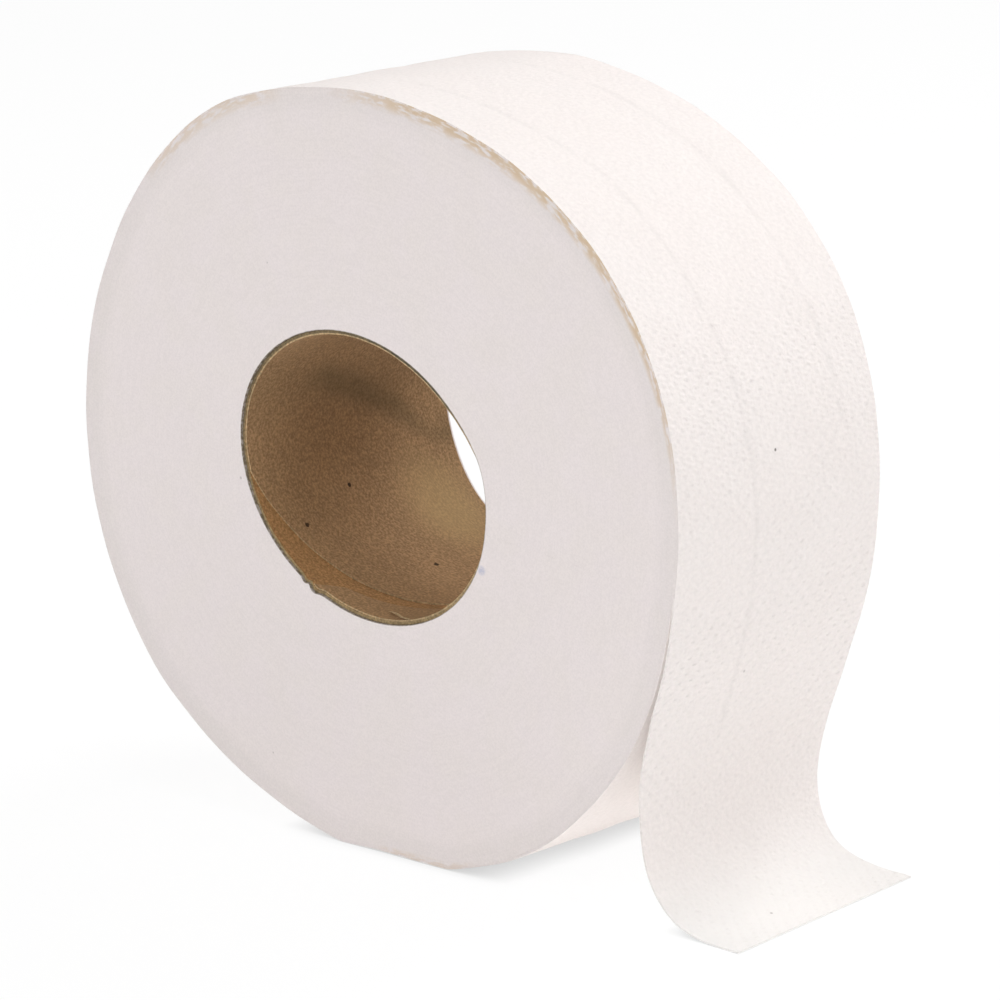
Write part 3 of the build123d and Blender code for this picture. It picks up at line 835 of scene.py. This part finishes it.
class TISSUE_OT_board_core(bpy.types.Operator):
    """Oval core wound from two plies of board, with the gap between the inner ply's turns"""
    bl_idname = "tissue_roll.board_core"
    bl_label = "Board core"

    def execute(self, context):
        settings = context.scene.tissue_board_core
        lanes = np.concatenate([np.linspace(0, 0.1, 16), np.linspace(0.12, 1, 45)])
        shells = [tube(np.arange(0.0, FULL_TURN, 1.0), lanes, 0.0, CORE_WALL - PLY),
                  ply_strip(np.arange(GAP_ANGLE - 1.15 * FULL_TURN, GAP_ANGLE + 1.15 * FULL_TURN, 1.0),
                            np.linspace(0.0, 1.0, 60), CORE_WALL - PLY + 0.01, CORE_WALL),
                  curl_of_fibre(TORN_FIBRE, TORN_WIDTHS, 0.18)]
        points, faces, uvs, kinds, start = [], [], [], [], 0
        for shell_points, shell_faces, uv, kind in shells:
            points.append(shell_points)
            faces += [[k + start for k in face] for face in shell_faces]
            uvs.append(uv)
            kinds += kind
            start += len(shell_points)
        materials = [board_material("unbleached_outer_ply", settings.outer_colour),
                     board_material("unbleached_inner_ply", settings.inner_colour),
                     board_material("cut_board_edge", settings.cut_colour),
                     board_material("cut_board_end", settings.end_colour, linear("#565043"))]
        points = np.concatenate(points)
        polar = np.degrees(np.arctan2(points[:, 2] - AXIS_HEIGHT - CORE_DROP, points[:, 0] - CORE_X))
        make_piece("board_core", points, faces, np.concatenate(uvs), materials,
                   "cardboard_core", kinds,
                   {"end_darkening": end_darkening(polar), "light_shade_and_streak": board_light_shade_and_streak(polar - CORE_TILT, points[:, 1])})
        return {"FINISHED"}


class TISSUE_OT_stage(bpy.types.Operator):
    """White floor, soft lights and the camera"""
    bl_idname = "tissue_roll.stage"
    bl_label = "Stage"

    def execute(self, context):
        settings = context.scene.tissue_stage
        scene = context.scene
        scene.view_settings.view_transform = "Standard"
        mesh = bpy.data.meshes.new("floor")
        corners = [(x * FLOOR_REACH, y * FLOOR_REACH, 0) for x, y in ((-1, -1), (1, -1), (1, 1), (-1, 1))]
        mesh.from_pydata(corners, [], [(0, 1, 2, 3)])
        floor = bpy.data.objects.new("floor", mesh)
        scene.collection.objects.link(floor)
        material, shader, add = new_material("white_floor", 1.0, 0.0)
        # White acrylic sweep: it glows a little, is white to the eye, and is grey close to what rests on it.
        shader.inputs["Base Color"].default_value = (0.9, 0.9, 0.9, 1)
        shader.inputs["Emission Color"].default_value = (1, 1, 1, 1)
        shader.inputs["Emission Strength"].default_value = settings.floor_glow
        # The roll keeps the light that comes from the left and behind from the floor close to it.
        near = add("AmbientOcclusion", {"Distance": settings.shadow_reach, "Normal": (-0.5, 0.6, 0.62)},
                   samples=16)
        hidden = add("Math", (1.0, near.outputs["AO"]), operation="SUBTRACT")
        hidden = add("Math", (hidden, 1.8), operation="POWER")
        hidden = add("Math", (hidden, settings.shadow_depth), **TIMES)
        shown = add("MixRGB", (hidden, (0.92, 0.92, 0.92, 1), (0, 0, 0, 1)))
        seen_floor = add("BsdfDiffuse", {"Color": (0.10, 0.10, 0.10, 1)})
        glow = add("Emission", {"Color": shown, "Strength": 1.0})
        both = add("AddShader", (seen_floor, glow))
        rays = add("LightPath")
        seen = add("Math", (rays.outputs["Is Camera Ray"], rays.outputs["Is Glossy Ray"]),
                   operation="MAXIMUM")
        seen = add("Math", (seen, rays.outputs["Is Transmission Ray"]), operation="MAXIMUM")
        mix = add("MixShader", (seen, shader, both))
        plug(material, mix, material.node_tree.nodes["Material Output"].inputs["Surface"])
        mesh.materials.append(material)
        world = bpy.data.worlds.new("white_studio")
        world.use_nodes = True
        scene.world = world
        back = world.node_tree.nodes["Background"]
        path = new_node(world, "LightPath")
        level = new_node(world, "MapRange", (path.outputs["Is Camera Ray"], 0.0, 1.0, settings.ambient, 1.0))
        plug(world, level, back.inputs["Strength"])
        back.inputs["Color"].default_value = (1, 1, 1, 1)
        for name, power, place, size in LAMPS:
            self.lamp(scene, name, power * settings.lamp_share, place, size)
        self.camera(scene)
        return {"FINISHED"}

    def lamp(self, scene, name, power, place, size):
        data = bpy.data.lights.new(name, "AREA")
        data.energy = power
        data.shape = "DISK"
        data.size = size
        lamp = bpy.data.objects.new(name, data)
        lamp.location = place
        aim = Vector((0, 0, AXIS_HEIGHT * MM)) - Vector(place)
        lamp.rotation_euler = aim.to_track_quat("-Z", "Y").to_euler()
        scene.collection.objects.link(lamp)

    def camera(self, scene):
        azimuth, elevation, distance = math.radians(41.6155), math.radians(13.7239), 1.56134
        back = Vector((math.sin(azimuth) * math.cos(elevation), -math.cos(azimuth) * math.cos(elevation),
                       math.sin(elevation)))
        right = Vector((math.cos(azimuth), math.sin(azimuth), 0))
        up = back.cross(right)
        target = Vector((0, 0, 0.110787)) + right * 0.0080224 - up * 0.0143209
        data = bpy.data.cameras.new("camera")
        data.lens = 193.41
        data.sensor_width = 36.0
        data.clip_start, data.clip_end = 0.05, 50.0
        data.dof.use_dof = False
        camera = bpy.data.objects.new("camera", data)
        turn = Matrix((right, up, back)).transposed().to_4x4()
        camera.matrix_world = Matrix.Translation(target + back * distance) @ turn
        scene.collection.objects.link(camera)
        scene.camera = camera


class TISSUE_PT_panel(bpy.types.Panel):
    """Lists the pieces of the roll and their settings"""
    bl_idname = "TISSUE_PT_panel"
    bl_label = "Tissue Roll"
    bl_space_type = "VIEW_3D"
    bl_region_type = "UI"
    bl_category = "Tissue Roll"

    def draw(self, context):
        for operator, group, properties in PANEL_ROWS:
            box = self.layout.box()
            box.operator(operator)
            for name in properties:
                box.prop(getattr(context.scene, group), name)


PANEL_ROWS = (("tissue_roll.stage", "tissue_stage",
               ("lamp_share", "ambient", "shadow_reach", "shadow_depth", "floor_glow")),
              ("tissue_roll.outer_sheet", "tissue_outer_sheet",
               ("colour", "emboss_depth", "crease_depth", "wander")),
              ("tissue_roll.wound_turns", "tissue_wound_turns", ("colour", "unevenness")),
              ("tissue_roll.board_core", "tissue_board_core",
               ("inner_colour", "outer_colour", "cut_colour", "end_colour")))

SETTINGS = (
    ("tissue_outer_sheet", OuterSheetSettings),
    ("tissue_wound_turns", WoundTurnsSettings),
    ("tissue_board_core", BoardCoreSettings),
    ("tissue_stage", StageSettings),
)

OPERATORS = (TISSUE_OT_stage, TISSUE_OT_outer_sheet, TISSUE_OT_wound_turns, TISSUE_OT_board_core)


def register():
    for name, group in SETTINGS:
        bpy.utils.register_class(group)
        setattr(bpy.types.Scene, name, bpy.props.PointerProperty(type=group))
    for operator in OPERATORS:
        bpy.utils.register_class(operator)
    bpy.utils.register_class(TISSUE_PT_panel)


def unregister():
    bpy.utils.unregister_class(TISSUE_PT_panel)
    for operator in reversed(OPERATORS):
        bpy.utils.unregister_class(operator)
    for name, group in reversed(SETTINGS):
        delattr(bpy.types.Scene, name)
        bpy.utils.unregister_class(group)


def main():
    register()
    bpy.ops.tissue_roll.stage()
    bpy.ops.tissue_roll.outer_sheet()
    bpy.ops.tissue_roll.wound_turns()
    bpy.ops.tissue_roll.board_core()


if __name__ == "__main__":
    main()
